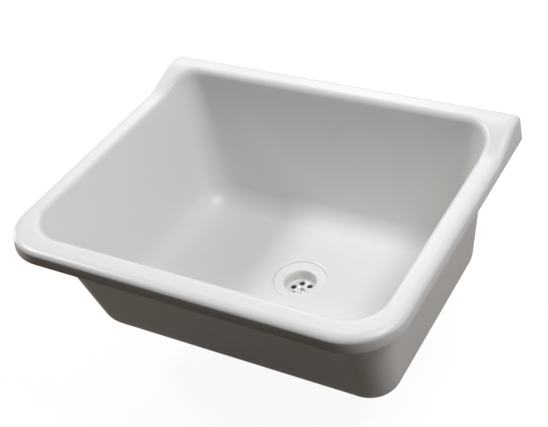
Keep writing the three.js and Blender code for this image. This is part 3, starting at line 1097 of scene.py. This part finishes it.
def pale_floor():
    paper = Finish("pale_floor", Roughness=0.9, Base_Color=FLOOR_COLOUR, Specular_IOR_Level=0)
    nodes, links = paper.tree.nodes, paper.tree.links
    glow = nodes.new("ShaderNodeEmission")
    glow.inputs["Strength"].default_value = FLOOR_GLOW
    lit = nodes.new("ShaderNodeAddShader")
    blend = nodes.new("ShaderNodeMixShader")
    links.new(paper.shader.outputs["BSDF"], lit.inputs[0])
    links.new(glow.outputs["Emission"], lit.inputs[1])
    links.new(background_white(nodes, links), blend.inputs["Fac"])
    links.new(paper.shader.outputs["BSDF"], blend.inputs[1])
    links.new(lit.outputs["Shader"], blend.inputs[2])
    links.new(blend.outputs["Shader"], nodes["Material Output"].inputs["Surface"])
    return paper


bm = bmesh.new()
bmesh.ops.create_grid(bm, x_segments=1, y_segments=1, size=FLOOR_SIZE / 2)
bmesh.ops.translate(bm, vec=(0, 0, cad_box[0].z), verts=bm.verts)
floor_mesh = bpy.data.meshes.new("floor")
bm.to_mesh(floor_mesh)
bm.free()
floor_mesh.materials.append(pale_floor().material)
floor = bpy.data.objects.new("floor", floor_mesh)
bpy.context.scene.collection.objects.link(floor)
floor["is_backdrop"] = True

world = bpy.data.worlds.new("studio")
world.use_nodes = True
nodes, links = world.node_tree.nodes, world.node_tree.links
backdrop = nodes["Background"]
backdrop.inputs["Color"].default_value = (1, 1, 1, 1)
links.new(background_white(nodes, links), backdrop.inputs["Strength"])
bpy.context.scene.world = world
print("The floor is at", round(cad_box[0].z / MM, 1), "mm")

# %% [markdown]
# Lamps could be placed by eye alone. Here many were tried first, one at a time, and the few were kept
# whose light, added up, comes nearest to the tones of the picture. They stand high on the right, far off
# on the left, behind, and low on the right. Their powers and faint tints were then touched up,
# and a weak lamp low on the left was added, which opens up that side of the bowl and the outlet.

# %% Lamps
LAMPS = {  # degrees round from +X, degrees up, distance and width in metres, watts, colour
    "high_right": (0, 56, 3, 0.6, 29, (1.02, 1.02, 1.01)),
    "high_back_right": (25, 68, 2, 0.4, 9.4, (0.92, 0.975, 1.11)),
    "far_left": (180, 46, 3.5, 0.63, 49.5, (1.02, 1, 1.01)),
    "behind_left": (135, 30, 4, 1.4, 14.3, (0.99, 0.98, 1.06)),
    "behind": (112, 40, 2, 0.7, 6.7, (1, 0.975, 1.05)),
    "low_right": (10, 8, 2, 0.6, 6.2, (1, 0.98, 1.04)),
    "low_left": (180, 4, 2, 0.6, 9, (1, 1, 1)),
}
TARGET = Vector((0, -0.25, -0.1))


def add_lamp(name, turned, raised, distance, width, power, colour):
    """A round lamp that faces the sink."""
    lamp = bpy.data.lights.new(name, "AREA")
    lamp.shape = "DISK"
    lamp.size = width
    lamp.energy = power
    lamp.color = colour
    turned, raised = radians(turned), radians(raised)
    towards = Vector((cos(raised) * cos(turned), cos(raised) * sin(turned), sin(raised)))
    holder = bpy.data.objects.new(name, lamp)
    holder.location = TARGET + distance * towards
    holder.rotation_euler = towards.to_track_quat("Z", "Y").to_euler()
    holder.visible_camera = False
    bpy.context.scene.collection.objects.link(holder)


for name, values in LAMPS.items():
    add_lamp(name, *values)
print(len(LAMPS), "lamps, all together", round(sum(values[4] for values in LAMPS.values())), "watts")

# %% [markdown]
# The camera stands in front of the sink, to its right and above it, and is held a little askew. Its
# place and lens come from the way the straight edges of the rim and bowl run together in the picture.

# %% Camera
CAMERA_PLACE = (0.7202, -1.3120, 0.9242)  # in metres
AZIMUTH = radians(33.66)
ELEVATION = radians(37.43)
ROLL = radians(-8.59)
LENS = 72.92
SENSOR = 36
camera = bpy.data.objects.new("camera", bpy.data.cameras.new("camera"))
camera.data.lens = LENS
camera.data.sensor_width = SENSOR
around = Matrix.Rotation(AZIMUTH, 4, "Z")
downwards = Matrix.Rotation(pi / 2 - ELEVATION, 4, "X")
askew = Matrix.Rotation(ROLL, 4, "Z")
camera.matrix_world = Matrix.Translation(CAMERA_PLACE) @ (around @ downwards @ askew)
bpy.context.scene.collection.objects.link(camera)
bpy.context.scene.camera = camera
bpy.context.scene.view_settings.view_transform = "Standard"
print("The lens is", LENS, "mm on a sensor", SENSOR, "mm wide")

# %% [markdown]
# Last come the overall sizes of the CAD model and of the dressed one, side by side, to show whether the
# dressing has outgrown the solids.

# %% Sizes for the record, and the end
boxes = {"cad": cad_box, "visual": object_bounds()}
for name, box in boxes.items():
    print(name, [[round(value / MM, 1) for value in corner] for corner in box])
